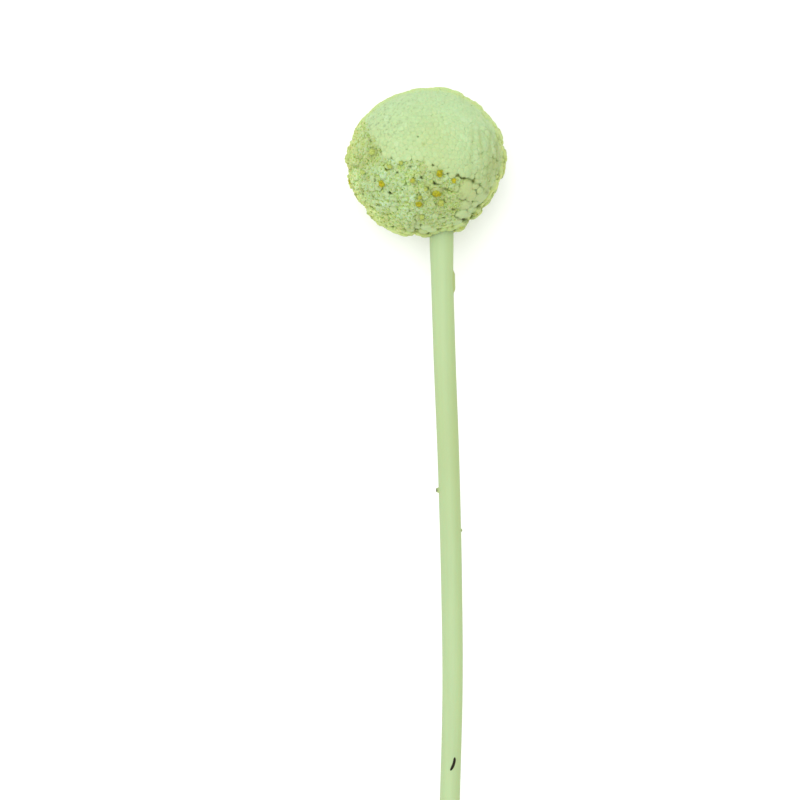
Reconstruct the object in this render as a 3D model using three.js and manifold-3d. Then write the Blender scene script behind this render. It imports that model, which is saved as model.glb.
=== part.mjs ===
// A billy buttons stem (Craspedia), cut, dried and laid down on a level surface: one globe of packed florets on
// a bare, slightly bowed stalk. Millimetres, +Z up. The stalk runs from the globe towards -X, and the origin is
// on the surface, in the middle of the small flat that the globe rests on.

import * as THREE from 'three';
import { ConvexHull } from 'three/addons/math/ConvexHull.js';
import { LoftGeometry } from 'three/addons/geometries/LoftGeometry.js';
import { mergeVertices } from 'three/addons/utils/BufferGeometryUtils.js';
import Module from 'manifold-3d';

const wasm = await Module();
wasm.setup();

// ---------------------------------------------------------------- driving dimensions

const HEAD_ACROSS = 30; // the globe's diameter across the stalk's line
const HEAD_DEEP = 28; // and from the crown to the neck
const HEAD_FLAT = 0.6; // how deep the resting flat cuts into the globe

const CROWN_PITCH = 2.1; // spacing of the florets at the crown
const BASE_PITCH = 3.4; // and opposite the crown
const RELIEF = 0.28; // depth of the grooves between florets, as a share of their spacing
const LUMPY_RELIEF = 0.38; // the same where the florets stand in round bunches
const TIP_SCATTER = 0.3; // how far the tips may fall short of the globe, as a share of the groove's depth
const SCATTER_SEED = 7;

// The two kinds of floret. Insets are shares of the way from a cell's edge to its middle, and depths are shares
// of the groove's depth, counted down from the floret's tip.
const BUD = { inset: 0.32, shoulder: 0.3 };
const CUP = { lobeInset: 0.25, lobe: 0.1, pitInset: 0.62, pit: 0.7, knob: 0.25 };

const CROWN = new THREE.Vector3( 0.85, - 0.25, 0.45 ).normalize(); // where the youngest florets are
const RIPE = new THREE.Vector3( - 0.91, 0.41, 0 ).normalize(); // the side whose florets have opened
const RIPE_COS = 0.03; // how far that side reaches
const LUMPY = new THREE.Vector3( - 0.6, - 0.75, 0.2 ).normalize(); // the middle of the patch of round bunches
const LUMPY_COS = 0.8; // and how far it reaches

const STALK_LENGTH = 286; // from the globe's middle to the cut
const TOP_RADIUS = 2.06; // the stalk's radius under the globe
const WAIST_RADIUS = 1.88; // at its thinnest
const CUT_RADIUS = 2.2; // and at the cut
const WAIST_AT = 110; // the waist's distance from the globe's middle
const NECK_FLARE = 0.16; // how much wider the stalk is right at the globe
const NECK_REACH = 8; // the length over which that fades
const NECK_SIDE = 2.9; // how far off the globe's middle the stalk meets it, towards -Y
const SUNK = 6.5; // how deep the stalk is sunk into the globe
const CLEARANCE = 0.3; // all round between the stalk and its socket
const BOW = 1.5; // how far the lying stalk arches up
const CUT_SLANT = THREE.MathUtils.degToRad( 14 );

// The stalk's sideways line below the neck: the distance from the globe's middle, and the offset towards -Y.
const SIDEWAYS = [
	[ 34, 3.4 ],
	[ 55, 4.2 ],
	[ 78, 4.8 ],
	[ 98, 5.0 ],
	[ 116, 4.6 ],
	[ 160, 2.9 ],
	[ 215, 0.9 ],
	[ 255, 0.2 ],
	[ STALK_LENGTH, 0.3 ],
];

// Bract scars: distance from the globe's middle, angle up from -Y round the stalk, length, width and how far
// each stands proud.
const SCARS = [
	{ at: 22.2, angle: 0, length: 3.4, width: 1.3, proud: 0.42 },
	{ at: 60.8, angle: 180, length: 1.1, width: 0.8, proud: 0.3 },
	{ at: 152, angle: 110, length: 2.6, width: 1.2, proud: 0.38 },
	{ at: 221, angle: 35, length: 3, width: 1.3, proud: 0.4 },
];

const STALK_SIDES = 16;
const STALK_STEPS = 52;
const SOCKET_SIDES = 24;
const SCAR_SIDES = 10;
const CORNER_JOIN = 0.02; // cell corners closer than this on a unit globe are one

// ---------------------------------------------------------------- worked out from them

const RADIUS = HEAD_ACROSS / 2;
const AXIAL_RADIUS = HEAD_DEEP / 2;
const STALK_TOP = AXIAL_RADIUS - SUNK; // the sunk end's distance from the globe's middle
const CENTRE = new THREE.Vector3( 0, 0, RADIUS - HEAD_FLAT );
const UP = new THREE.Vector3( 0, 0, 1 );
const GOLDEN_ANGLE = Math.PI * ( 3 - Math.sqrt( 5 ) );

const floretFinish = new THREE.MeshStandardMaterial( { color: 0xc6e2a0, roughness: 0.85, metalness: 0 } );
const stalkFinish = new THREE.MeshStandardMaterial( { color: 0xc4dca6, roughness: 0.6, metalness: 0 } );

const { lerp, smoothstep, degToRad, seededRandom } = THREE.MathUtils;

// ---------------------------------------------------------------- solids

// A closed geometry as a solid that can be joined and cut.
function solid( geometry ) {

	const bare = new THREE.BufferGeometry().setIndex( geometry.index );
	bare.setAttribute( 'position', geometry.attributes.position );
	const merged = mergeVertices( bare );
	return new wasm.Manifold( new wasm.Mesh( {
		numProp: 3,
		vertProperties: merged.attributes.position.array,
		triVerts: new Uint32Array( merged.index.array ),
	} ) );

}

// A solid as a named mesh.
function piece( name, body, material ) {

	const { vertProperties, triVerts } = body.getMesh();
	const geometry = new THREE.BufferGeometry();
	geometry.setAttribute( 'position', new THREE.BufferAttribute( vertProperties, 3 ) );
	geometry.setIndex( new THREE.BufferAttribute( triVerts, 1 ) );
	geometry.computeVertexNormals();
	const mesh = new THREE.Mesh( geometry, material );
	mesh.name = name;
	return mesh;

}

// ---------------------------------------------------------------- the stalk

// The stalk's axis from its sunk top to the cut. It comes down evenly from the globe's middle to the surface,
// arching up a little on the way.
function stalkAxis() {

	const cutHeight = CUT_RADIUS * Math.cos( Math.PI / STALK_SIDES );
	const line = [ [ STALK_TOP, NECK_SIDE ], [ AXIAL_RADIUS, NECK_SIDE ], ...SIDEWAYS ];
	const points = line.map( ( [ along, side ] ) => {

		const t = along / STALK_LENGTH;
		return new THREE.Vector3( - along, - side, lerp( CENTRE.z, cutHeight, t ) + BOW * Math.sin( Math.PI * t ) );

	} );
	return new THREE.CatmullRomCurve3( points, false, 'centripetal' );

}

// The stalk's radius at a distance from the globe's middle.
function stalkRadius( along ) {

	if ( along > WAIST_AT ) {

		return lerp( WAIST_RADIUS, CUT_RADIUS, smoothstep( along, WAIST_AT, STALK_LENGTH ) );

	}

	const flare = NECK_FLARE * smoothstep( AXIAL_RADIUS + NECK_REACH - along, 0, NECK_REACH );
	return flare + lerp( TOP_RADIUS, WAIST_RADIUS, ( along / WAIST_AT ) ** 2 );

}

// A point of the axis with its three directions: ahead to the cut, level towards -Y, and up.
function stalkFrame( axis, u ) {

	const ahead = axis.getTangentAt( u );
	const level = new THREE.Vector3().crossVectors( UP, ahead ).normalize();
	const up = new THREE.Vector3().crossVectors( ahead, level );
	return { point: axis.getPointAt( u ), ahead, level, up };

}

// The bare stalk: rings round the axis, with one facet of each straight down, and the last ring slanted.
function stalkLoft( axis ) {

	const rings = [];
	for ( let i = 0; i <= STALK_STEPS; i ++ ) {

		const { point, ahead, level, up } = stalkFrame( axis, i / STALK_STEPS );
		const radius = stalkRadius( - point.x );
		const slant = i === STALK_STEPS ? Math.tan( CUT_SLANT ) : 0;
		const ring = [];
		for ( let j = 0; j < STALK_SIDES; j ++ ) {

			const angle = ( j + 0.5 ) * 2 * Math.PI / STALK_SIDES;
			const side = radius * Math.cos( angle );
			ring.push( point.clone()
				.addScaledVector( level, side )
				.addScaledVector( up, radius * Math.sin( angle ) )
				.addScaledVector( ahead, slant * side ) );

		}

		rings.push( ring );

	}

	return new LoftGeometry( rings, { capStart: true, capEnd: true } );

}

// A bract scar: a flat oval pad lying along the stalk, half sunk in its skin.
function scar( axis, { at, angle, length, width, proud } ) {

	const { point, ahead, level, up } = stalkFrame( axis, ( at - STALK_TOP ) / ( STALK_LENGTH - STALK_TOP ) );
	const turn = degToRad( angle );
	const out = level.clone().multiplyScalar( Math.cos( turn ) ).addScaledVector( up, Math.sin( turn ) );
	const round = new THREE.Vector3().crossVectors( out, ahead );
	const surface = point.clone().addScaledVector( out, stalkRadius( - point.x ) - proud );
	return new THREE.SphereGeometry( 1, SCAR_SIDES, SCAR_SIDES / 2 )
		.scale( length / 2, width / 2, 2 * proud )
		.applyMatrix4( new THREE.Matrix4().makeBasis( ahead, round, out ).setPosition( surface ) );

}

function stalk( axis ) {

	return SCARS.reduce( ( body, mark ) => body.add( solid( scar( axis, mark ) ) ), solid( stalkLoft( axis ) ) );

}

// The hole in the globe for the stalk's sunk top.
function socket( axis ) {

	const top = axis.getPointAt( 0 );
	const ahead = axis.getTangentAt( 0 );
	const depth = 2 * SUNK;
	const radius = stalkRadius( AXIAL_RADIUS ) + CLEARANCE;
	const middle = top.addScaledVector( ahead, depth / 2 - CLEARANCE );
	return new THREE.CylinderGeometry( radius, radius, depth, SOCKET_SIDES )
		.applyQuaternion( new THREE.Quaternion().setFromUnitVectors( new THREE.Vector3( 0, 1, 0 ), ahead ) )
		.translate( middle.x, middle.y, middle.z );

}

// ---------------------------------------------------------------- the globe of florets

// How far down from the crown a direction points, from 0 at the crown to 1 opposite it.
const downFromCrown = ( direction ) => ( 1 - direction.dot( CROWN ) ) / 2;

// The florets' spacing there.
const pitchAt = ( direction ) => lerp( CROWN_PITCH, BASE_PITCH, downFromCrown( direction ) );

const isLumpy = ( direction ) => direction.dot( LUMPY ) > LUMPY_COS;

const isOpen = ( direction ) => direction.dot( RIPE ) > RIPE_COS && ! isLumpy( direction );

// The depth of the grooves there.
const grooveAt = ( direction ) => pitchAt( direction ) * ( isLumpy( direction ) ? LUMPY_RELIEF : RELIEF );

// The florets' middles as directions: a golden-angle spiral away from the crown, with the spacing of pitchAt.
// It starts where it has to for one floret to point straight down, so that the resting flat is cut on that one.
function floretDirections() {

	const growth = BASE_PITCH - CROWN_PITCH;
	const room = 4 * Math.PI * RADIUS ** 2 / Math.sin( Math.PI / 3 ); // in squares of the spacing
	const countAt = ( down ) => room * down / ( CROWN_PITCH * ( CROWN_PITCH + growth * down ) );
	const downAt = ( count ) => count * CROWN_PITCH ** 2 / ( room - count * CROWN_PITCH * growth );

	const across = new THREE.Vector3().crossVectors( UP, CROWN ).normalize();
	const along = new THREE.Vector3().crossVectors( CROWN, across );
	const floor = UP.clone().negate();
	const floorCount = countAt( downFromCrown( floor ) );
	const floorIndex = Math.floor( floorCount );
	const floorAngle = Math.atan2( floor.dot( along ), floor.dot( across ) );

	const directions = [];
	for ( let i = 0; i + floorCount - floorIndex < countAt( 1 ); i ++ ) {

		const cosine = 1 - 2 * downAt( i + floorCount - floorIndex );
		const sine = Math.sqrt( 1 - cosine ** 2 );
		const angle = floorAngle + ( i - floorIndex ) * GOLDEN_ANGLE;
		directions.push( CROWN.clone().multiplyScalar( cosine )
			.addScaledVector( across, sine * Math.cos( angle ) )
			.addScaledVector( along, sine * Math.sin( angle ) ) );

	}

	return directions;

}

// The cells round the florets' middles: for each, its corners in turn. A face of the convex hull of all middles
// points to a spot equally far from its own three, which is a corner of their three cells.
function floretCells( middles ) {

	const corners = [];
	const cells = new Map( middles.map( ( middle ) => [ middle, new Set() ] ) );
	for ( const face of new ConvexHull().setFromPoints( middles ).faces ) {

		let corner = corners.find( ( other ) => other.distanceTo( face.normal ) < CORNER_JOIN );
		if ( ! corner ) corners.push( corner = face.normal.clone().normalize() );
		for ( let i = 0; i < 3; i ++ ) cells.get( face.getEdge( i ).head().point ).add( corner );

	}

	for ( const [ middle, ring ] of cells ) {

		const [ first ] = ring;
		const ahead = first.clone().sub( middle );
		const left = new THREE.Vector3().crossVectors( middle, ahead );
		const bearing = ( corner ) => {

			const out = corner.clone().sub( middle );
			return Math.atan2( out.dot( left ), out.dot( ahead ) );

		};

		cells.set( middle, [ ...ring ].sort( ( a, b ) => bearing( a ) - bearing( b ) ) );

	}

	return cells;

}

// The whole globe as one closed surface. A closed floret is a rounded bud: its cell's corners down in the
// grooves, a shoulder and a tip. An open one is a cup: lobes between the corners, a pit, and the anthers' knob.
function globe() {

	const positions = [];
	const index = [];
	const shared = new Map();

	const add = ( direction, depth ) => {

		const reach = 1 - depth / RADIUS;
		positions.push(
			CENTRE.x + AXIAL_RADIUS * reach * direction.x,
			CENTRE.y + RADIUS * reach * direction.y,
			CENTRE.z + RADIUS * reach * direction.z,
		);
		return positions.length / 3 - 1;

	};

	const addCorner = ( corner ) => {

		if ( ! shared.has( corner ) ) shared.set( corner, add( corner, grooveAt( corner ) ) );
		return shared.get( corner );

	};

	const between = ( a, b, share ) => a.clone().lerp( b, share ).normalize();

	// Joins a ring to the next one in, or to a single point.
	const join = ( outer, inner ) => outer.forEach( ( a, i ) => {

		const b = outer[ ( i + 1 ) % outer.length ];
		const c = inner.length === 1 ? inner[ 0 ] : inner[ ( i + 1 ) % inner.length ];
		index.push( a, b, c );
		if ( inner.length > 1 ) index.push( a, c, inner[ i ] );

	} );

	for ( const [ middle, corners ] of floretCells( floretDirections() ) ) {

		const groove = grooveAt( middle );
		const tip = seededRandom() * TIP_SCATTER * groove;
		const rim = corners.map( addCorner );

		if ( isOpen( middle ) ) {

			// The rings are each half a step round from the one outside them.
			const before = corners.map( ( _, i ) => corners.at( i - 1 ) );
			const lobes = corners.map( ( corner, i ) => {

				const edge = between( corner, before[ i ], 0.5 );
				return add( between( edge, middle, CUP.lobeInset ), tip + CUP.lobe * groove );

			} );
			const pit = before.map( ( corner ) => {

				return add( between( corner, middle, CUP.pitInset ), tip + CUP.pit * groove );

			} );
			join( rim, lobes );
			join( lobes, pit );
			join( pit, [ add( middle, tip + CUP.knob * groove ) ] );

		} else {

			const shoulder = corners.map( ( corner ) => {

				return add( between( corner, middle, BUD.inset ), tip + BUD.shoulder * groove );

			} );
			join( rim, shoulder );
			join( shoulder, [ add( middle, tip ) ] );

		}

	}

	const surface = new THREE.BufferGeometry();
	surface.setAttribute( 'position', new THREE.Float32BufferAttribute( positions, 3 ) );
	surface.setIndex( index );
	return surface;

}

// The globe with its resting flat and the socket for the stalk.
function head( axis ) {

	const size = 2 * HEAD_ACROSS;
	const aboveSurface = new THREE.BoxGeometry( size, size, size ).translate( 0, 0, size / 2 );
	return solid( globe() ).intersect( solid( aboveSurface ) ).subtract( solid( socket( axis ) ) );

}

// ---------------------------------------------------------------- the flower

seededRandom( SCATTER_SEED );
const axis = stalkAxis();
const flower = new THREE.Group();
flower.add( piece( 'head', head( axis ), floretFinish ) );
flower.add( piece( 'stem', stalk( axis ), stalkFinish ) );

export default flower;
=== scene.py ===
"""A dried billy button lying on a pale floor: a globe of packed florets, closed over the crown and open
below, on a bare, slightly bowed stalk. The frame's +X runs from the foot of the stalk to the crown, +Z is up,
and the origin is on the floor under the middle of the globe. Lengths are in metres, or in millimetres times
MM."""

import functools
import math

import bpy
import numpy as np
from bpy.props import FloatProperty, FloatVectorProperty, IntProperty, PointerProperty
from mathutils import Matrix, Vector


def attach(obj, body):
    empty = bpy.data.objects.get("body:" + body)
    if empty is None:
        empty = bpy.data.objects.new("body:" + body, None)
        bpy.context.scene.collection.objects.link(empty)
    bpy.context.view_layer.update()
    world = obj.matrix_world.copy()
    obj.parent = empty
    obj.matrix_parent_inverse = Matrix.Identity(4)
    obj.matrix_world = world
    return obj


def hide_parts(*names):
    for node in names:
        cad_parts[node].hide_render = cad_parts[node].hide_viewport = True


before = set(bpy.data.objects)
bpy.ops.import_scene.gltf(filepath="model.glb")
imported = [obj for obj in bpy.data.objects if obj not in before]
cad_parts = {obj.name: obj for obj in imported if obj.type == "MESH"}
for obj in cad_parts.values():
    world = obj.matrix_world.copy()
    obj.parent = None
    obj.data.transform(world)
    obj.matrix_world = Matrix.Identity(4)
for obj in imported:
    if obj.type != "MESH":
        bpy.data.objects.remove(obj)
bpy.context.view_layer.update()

bl_info = {
    "name": "Billy Button",
    "version": (1, 0, 0),
    "blender": (4, 5, 0),
    "location": "3D Viewport > Sidebar > Billy Button",
    "description": "Builds a dried billy button flower with its florets and stalk",
    "category": "Add Mesh",
}

MM = 0.001
GOLDEN_ANGLE = math.pi * (3 - math.sqrt(5))
UP = np.array([0.0, 0.0, 1.0])

# ------------------------------------------------------------------ sizes that the frame and the flower share

GLOBE_RADII = np.array([14.0, 15.0, 15.0]) * MM
RADIUS = GLOBE_RADII[1]
FLAT_DEPTH = 0.6 * MM  # how deep the resting flat cuts into the globe
GLOBE_MIDDLE = np.array([0.0, 0.0, RADIUS - FLAT_DEPTH])
EYE = np.array([-44.1, 4.8, 349.8]) * MM  # where the camera hangs, from the globe's middle


def unit(vectors):
    """Vectors scaled to length 1."""
    return vectors / np.linalg.norm(vectors, axis=-1, keepdims=True)


CROWN = unit(np.array([0.85, -0.25, 0.45]))  # where the youngest florets are
RIPE = unit(np.array([-0.91, 0.41, -0.12]))  # the side whose florets have opened
LUMPY = unit(np.array([-0.6, -0.75, 0.2]))  # the patch of large smooth florets at the lower right
FLANK = unit(np.array([0.12, -1.0, 0.0]))  # the flank whose florets stand in rows
EYE_SIDE = unit(EYE)  # the side that the camera faces, which is mint; round it the florets are painted yellower and lighter, the lightness painted light

# Soft spots on the globe are given by their middle, how far they reach in degrees, and how much they change.
# Where the globe is fuller or has shrunk, in millimetres.
SWELLS = [
    ((0.94, 0.34, 0.1), 34, -0.36), ((0.77, 0.64, 0.1), 30, -0.22), ((-0.1, 1.0, 0.1), 34, -0.2),
    ((-0.4, 0.9, 0.1), 16, -0.3), ((-0.86, 0.5, 0.1), 20, 0.4), ((-0.5, -0.82, 0.28), 28, -0.5),
    ((-0.6, -0.8, 0.1), 20, -0.35), ((-0.9, -0.42, 0.1), 6, 0.5),
]
# Where the open florets reach up into the closed ones, or are held back, by a part of the radius.
BORDER_SPOTS = [((-0.04, 0.38, 0.92), 14, 0.17), ((0.0, -0.1, 0.99), 12, -0.07), ((0.3, 0.9, 0.3), 20, -0.3)]
# Where the florets have turned from mint to straw, by a share.
MELLOWS = [
    ((0.04, 0.71, 0.70), 20, 0.7), ((0.2, 0.95, 0.1), 20, 0.4), ((-0.12, -0.97, 0.15), 32, 0.95),
    ((-0.97, 0.1, 0.1), 35, 0.3), ((-0.46, -0.15, 0.88), 24, 0.65), ((0.16, -0.03, 0.98), 23, 0.5),
    ((-0.57, -0.5, 0.65), 18, 0.5),
]
GRAINY_SPOT = ((0.45, 0.6, 0.66), 28)  # where the closed florets are speckled

# Scallops down its sides: the angle round the vertical from -Y towards +X and how far they reach, in degrees,
# and by how many millimetres they stand out.
SCALLOPS = [
    (4, 4, 0.4), (12, 3, -0.27), (21, 4, 0.25), (39, 3, -0.22), (60, 3, -0.2), (66, 3, 0.22), (76, 5, 0.2),
    (88, 5, -0.22), (106, 7, -0.2), (139, 3, -0.15), (164, 6, -0.25), (178, 3, 0.35), (187, 3, -0.6),
    (196, 3, 0.35), (200, 4, 0.2), (220, 6, -0.38), (251, 4, 0.4), (261.5, 3, -0.7), (271, 3, 0.3),
    (294, 4, 0.3), (306, 2.5, -0.65), (313, 3, 0.2), (319.5, 2.5, -0.55), (327, 3, 0.2), (334, 3, -0.2),
    (344, 4, -0.45), (352, 3, 0.15),
]

# Bunches of florets: how far in from the edge they are rounded, and how deep the grooves between them are,
# with what the flank and the open florets add to that, in millimetres.
BUNCH_SHOULDER = 1.25
GROOVE, FLANK_GROOVE, RIPE_GROOVE = 0.08, 0.62, 0.1

# The stalk's middle line: distance from the globe's middle, and offset towards -Y, in millimetres.
STALK_TOP, STALK_FOOT = 7.5, 286.0
STALK_LINE = np.array([
    (STALK_TOP, 2.9), (14, 2.9), (34, 3.4), (55, 4.2), (78, 4.8), (98, 5.0),
    (116, 4.6), (160, 2.9), (215, 0.9), (255, 0.2), (STALK_FOOT, 0.3),
])
# Its radii in the same way, how much wider it is at the neck, and over what length.
STALK_RADII = np.array([
    (0, 2.06), (34, 2.05), (74, 1.98), (110, 1.88), (170, 1.95), (240, 2.13), (STALK_FOOT, 2.2),
])
NECK_FLARE, NECK_REACH = 0.16, 8.0
NECK_ROOM = 2.5  # how far the florets stay from the stalk's middle line
BOW = 1.5  # how far the lying stalk arches up
RIBS, RIB_HEIGHT = 13, 0.004  # how many, and how high as a share of the radius
WARP_HEIGHT, WARP_LENGTH = 0.006, 23  # how uneven the stalk is, as a share, and over what length
DUSK_AT, DUSK_REACH = 50, 16  # where the stalk's skin is a little browner
# The cut: its slant, how far up from the foot it slants the rings, and its rings from the edge to the pith,
# by their share of the radius and how deep they lie.
CUT_SLANT = math.radians(14)
CUT_FROM, CUT_TO = 3, 0.2
CUT_SHARES = np.array([1.0, 0.985, 0.93, 0.8, 0.62, 0.4, 0.2])
CUT_DEPTHS = np.array([0.0, 0.02, 0.0, 0.03, 0.1, 0.13, 0.15])

# Bract scars: distance from the globe's middle, angle up from -Y, length, width and height, in millimetres,
# and how dark their middles are.
SCARS = [
    (22.2, 0, 3.4, 1.5, 0.33, 0.0), (60.8, 174, 0.8, 0.9, 0.5, 0.95), (68.4, 0, 0.5, 0.5, 0.2, 0.6),
    (152, 110, 2.6, 1.3, 0.38, 0.0), (221, 35, 3.0, 1.4, 0.4, 0.0),
]
# The wound on top of the stalk: where its middle is along the stalk, half its length and half its width, how
# flat it is, and its offset towards -Y with what its length and its length's square add to that.
WOUND_AT, WOUND_LENGTH, WOUND_WIDTH, WOUND_FLAT = 111.8, 1.25, 0.28, 0.55
WOUND_LINE = (0.47, -0.38, -0.22)

# Places on the upper side of the globe are millimetres to the right of its middle and up from it, where the
# eye sees them in the level plane through the middle, with the crown up.
# Florets that show large anthers, with the width of these and how golden they are.
GOLD_FLORETS = [
    (-8.2, -4.1, 1.3, 0.95), (2.5, -2.2, 1.35, 1.0), (-1.3, -7.8, 1.3, 1.0), (-1.1, -6.6, 0.8, 0.5),
    (5.2, -3.5, 1.0, 0.8), (2.0, -5.9, 1.75, 0.85), (-2.4, -3.5, 0.9, 0.6), (-4.6, -0.2, 0.75, 0.45),
    (-10.0, 1.8, 1.2, 0.3), (-6.7, -0.9, 0.8, 0.35), (2.8, -7.7, 1.2, 0.45), (0.0, -5.1, 0.7, 0.4),
    (-0.7, -10.2, 0.9, 0.35), (6.5, -12.0, 1.0, 0.4), (-11.7, -1.9, 0.8, 0.25), (-14.0, -3.7, 0.9, 0.8),
]
# Small holes between florets, where dark painted shade is drawn, with their width.
HOLES = [
    (2.6, -12.8, 0.6), (-0.9, -3.0, 0.55), (1.7, -4.1, 0.55), (7.0, -10.9, 0.55), (-3.0, -0.9, 0.45),
    (5.9, -10.4, 0.48), (0.4, -13.5, 0.48), (5.4, -9.1, 0.48), (-1.9, -13.0, 0.48), (3.0, -2.4, 0.4),
    (3.9, -9.8, 0.4), (-12.0, -6.1, 0.4), (-6.8, -5.9, 0.4), (3.5, -5.0, 0.4), (-9.6, -3.5, 0.4),
    (-5.4, -2.0, 0.4), (-2.4, -3.5, 0.3), (-12.2, -5.4, 0.3), (0.2, -5.0, 0.3), (3.5, -10.7, 0.3),
    (13.5, 0.2, 0.3), (-4.4, -11.5, 0.3), (4.1, -2.2, 0.3), (-8.9, -5.6, 0.3), (-6.5, 0.7, 0.3),
    (-8.3, -4.1, 0.24), (1.3, -0.6, 0.3), (-1.1, -6.3, 0.3), (-10.4, 2.6, 0.3), (-1.5, -8.3, 0.3),
    (-0.7, -10.0, 0.3), (-3.0, -9.3, 0.3), (-12.2, -1.5, 0.3), (-8.5, 1.7, 0.3), (-11.7, 4.8, 0.3),
    (-3.9, -4.4, 0.3), (-10.2, -6.7, 0.3), (0.7, -1.9, 0.24), (-10.6, 4.1, 0.3), (10.6, 1.7, 0.24),
    (-6.3, -12.1, 0.62),
]
# Olive stains from dried anthers, and round the lumps of the lower right painted shade along their edges:
# their width and how strong they are.
STAINS_AND_SHADE = [
    (2.8, -7.7, 1.9, 0.8), (-10.0, 1.8, 1.9, 0.7), (-6.7, -0.9, 1.2, 0.7), (-4.6, -0.2, 1.1, 0.5),
    (-2.3, -3.6, 1.5, 0.6), (-1.2, -6.7, 1.2, 0.8), (0.3, -4.9, 1.2, 0.7), (-0.3, -10.3, 1.6, 0.55),
    (5.5, -9.1, 1.3, 0.8), (-11.2, -3.2, 1.3, 0.6), (-10.9, -5.5, 1.3, 0.6), (-12.2, -5.2, 1.2, 0.7),
    (2.2, -6.1, 2.6, 0.5), (2.1, -2.0, 1.9, 0.5), (-8.2, -4.2, 1.9, 0.35), (6.3, -12.0, 1.6, 0.6),
    (-0.9, -7.9, 1.9, 0.45), (-11.9, -0.6, 1.6, 0.35), (12.7, -0.6, 5.5, 0.42), (-0.4, 3.3, 0.6, 0.6),
    (12.3, -4.2, 2.6, 0.35), (-10.2, 0.8, 2.0, 0.6), (7.4, -11.7, 1.7, 0.9), (7.2, -12.4, 1.9, 0.9),
    (6.5, -12.7, 2.0, 0.8), (11.1, -8.9, 1.7, 0.5), (11.8, -7.9, 1.7, 0.3), (-1.7, -13.3, 1.6, 0.65),
    (-0.5, -13.6, 1.7, 0.65), (0.6, -13.4, 1.3, 0.65), (14.4, -0.6, 2.6, 0.25),
]
# Clefts, the first of them under the crown, where the lower right has shrunk away from it, which are drawn in
# painted shade: how dark they are, and the places that they run through.
CLEFTS = [
    (0.85, [
        (5.7, -2.3), (6.8, -3.1), (8.4, -3.2), (8.9, -4.0), (10.1, -4.3), (10.8, -5.1), (11.9, -6.0),
        (12.4, -6.4),
    ]),
    (0.45, [(6.2, -3.9), (6.4, -5.5), (6.9, -6.6), (7.6, -7.3), (8.3, -7.8), (8.9, -8.4)]),
    (0.86, [(5.5, -10.3), (6.4, -10.7), (7.3, -11.3), (7.8, -12.0)]),
    (0.75, [(8.8, -8.5), (9.8, -9.0), (11.1, -9.1)]),
    (0.55, [(3.4, -4.8), (4.2, -5.7)]),
    (0.25, [(-8.4, 2.2), (-8.2, 0.9), (-8.0, -0.4), (-7.6, -1.9), (-7.4, -2.6)]),
    (0.2, [(9.9, 2.3), (9.7, -0.5), (9.2, -2.6), (8.9, -3.8)]),
    (0.3, [(13.1, 1.0), (12.0, -0.4), (11.7, -1.8), (11.5, -3.2)]),
]
# Painted shade along soft furrows between the rows on the flank, in the same way.
FURROWS = [
    (0.22, [(8.7, 6.8), (8.7, 4.1), (8.4, 1.3), (8.3, -1.1), (8.5, -2.6)]),
    (0.34, [(9.9, 5.6), (10.4, 2.6), (10.4, -0.6), (9.9, -3.3)]),
    (0.4, [(12.0, 5.6), (12.0, 2.6), (11.7, -0.6), (11.3, -3.3)]),
    (0.5, [(13.6, 4.6), (13.2, 2.6), (13.2, 0.7), (12.6, -1.5), (11.9, -3.7)]),
]
# Large smooth florets that stand apart at the lower right: places, widths and lengths.
LUMPS = [
    (7.6, -5.2, 2.5, 3.4), (9.4, -4.6, 1.6, 1.3), (8.6, -6.5, 1.9, 2.2), (10.8, -7.1, 4.0, 3.3),
    (10.3, -5.3, 1.5, 1.3), (7.6, -8.4, 2.4, 2.3), (6.7, -10.0, 2.2, 2.0), (8.6, -9.3, 1.7, 1.4),
    (6.4, -11.9, 2.4, 1.9), (9.3, -8.3, 1.6, 1.4),
]
CLEFT_WIDTH, CLEFT_DARKNESS = 0.12, 0.9  # half the width of a cleft of full strength, and how dark its painted shade is
CRACK_FADE = 0.2  # over how many millimetres a cleft or a hole fades out

# The flap is one large bract that sticks out: its place, depth, size, axis and back.
FLAP_PLACE, FLAP_DEPTH, FLAP_SIZE = (9.6, -9.7), -0.1, (0.75, 1.0, 1.8)
FLAP_AXIS, FLAP_BACK = (-0.3, -0.9, 0.35), (-0.75, -0.66, 0.0)

# The stage, in metres: the floor's width, and the large soft light's width, place and aim.
FLOOR_SIZE, KEY_SIZE = 6.0, 0.9
KEY_PLACE, KEY_AIM = Vector((0.05, 0.15, 0.8)), Vector((-0.03, 0, 0))


# ------------------------------------------------------------------ settings

def a_length(name, description, millimetres, precision=5):
    """A length that a user would change."""
    return FloatProperty(
        name=name, description=description, default=millimetres * MM, unit="LENGTH", precision=precision)


def a_colour(name, description, default):
    """A colour that a user would change."""
    return FloatVectorProperty(
        name=name, description=description, default=default, subtype="COLOR", size=3, min=0, max=1)


class BillyFloretSettings(bpy.types.PropertyGroup):
    """Sizes of the florets"""
    crown_pitch: a_length("Crown pitch", "Spacing of the florets at the crown", 0.92)
    base_pitch: a_length("Base pitch", "Spacing of the florets opposite the crown", 1.3)
    lump_pitch: a_length("Lump pitch", "Spacing of the large smooth florets of the lower side", 1.75)
    row_pitch: a_length("Row pitch", "Spacing of the rows on the flank", 1.65)
    row_step: a_length("Row step", "Spacing of the florets along a row", 0.95)
    bunch_pitch: a_length("Bunch pitch", "Spacing of the bunches that the florets stand in", 3.1)
    seed: IntProperty(name="Seed", description="Seed of every random draw", default=11)


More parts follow.
